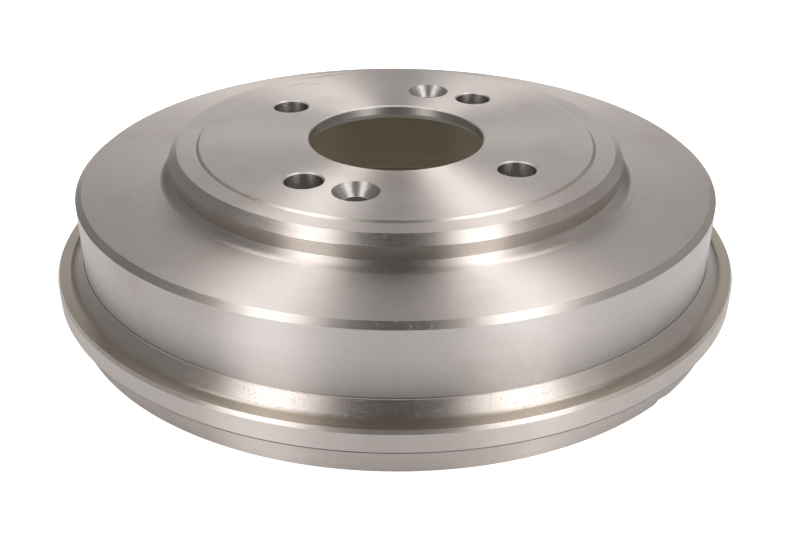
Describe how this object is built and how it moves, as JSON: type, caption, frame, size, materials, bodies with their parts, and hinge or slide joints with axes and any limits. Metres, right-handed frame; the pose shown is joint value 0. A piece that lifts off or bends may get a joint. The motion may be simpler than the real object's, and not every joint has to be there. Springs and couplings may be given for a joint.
{
  "type": "brake drum",
  "caption": "Cast iron brake drum with a raised hub, wheel stud holes, countersunk screw holes, a flanged rim and a friction track inside.",
  "frame": {"origin": "on the drum's axis, in the plane of the open end that it stands on", "axes": "+Z along the drum's axis, out of the hub; the wheel stud holes lie at 45 degrees to X and Y"},
  "size_m": [0.2428, 0.2428, 0.0565],
  "materials": {
    "turned_iron": "bare grey iron, turned all over with fine concentric tool marks, rougher and darker where the casting is left as it was"
  },
  "bodies": {
    "root": {"brake_drum": "turned_iron"}
  },
  "joints": []
}
